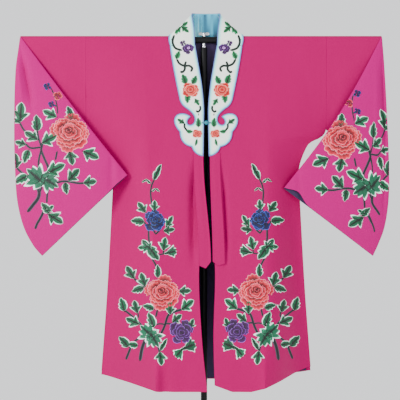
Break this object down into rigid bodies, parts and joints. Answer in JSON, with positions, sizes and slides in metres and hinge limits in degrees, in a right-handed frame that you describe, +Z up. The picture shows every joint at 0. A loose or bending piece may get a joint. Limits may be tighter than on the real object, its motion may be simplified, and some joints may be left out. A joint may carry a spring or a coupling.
{
  "type": "opera robe on a T-shaped stand",
  "caption": "Knee-length open-front stage robe with wide sleeves folded forward and a cloud-ended collar, hung over the crossbar of a post stand with a round base.",
  "frame": {"origin": "centre of the underside of the stand's base, on the floor", "axes": "+Z up the post, -Y out of the robe's front, +X towards the wearer's left sleeve"},
  "size_m": [1.1198, 0.41, 1.5303],
  "materials": {
    "pink_silk": "satin",
    "sleeve_silk": "satin",
    "lining": "satin",
    "white_satin": "satin",
    "teal_satin": "satin",
    "black_stand": "satin",
    "chrome": "polished"
  },
  "bodies": {
    "root": {"front_right": "pink_silk", "front_left": "pink_silk", "back": "pink_silk", "sleeve_right": "pink_silk", "sleeve_left": "pink_silk", "sleeve_end_right": "sleeve_silk", "sleeve_end_left": "sleeve_silk", "tie_right": "pink_silk", "tie_left": "pink_silk", "lining_back": "lining", "collar_right": "white_satin", "collar_left": "white_satin", "collar_facing": "teal_satin", "collar_knot": "teal_satin", "stand_base": "black_stand", "stand_post": "black_stand", "stand_bar": "black_stand", "stand_ferrule": "chrome", "stand_wing_nut": "chrome"}
  },
  "joints": []
}
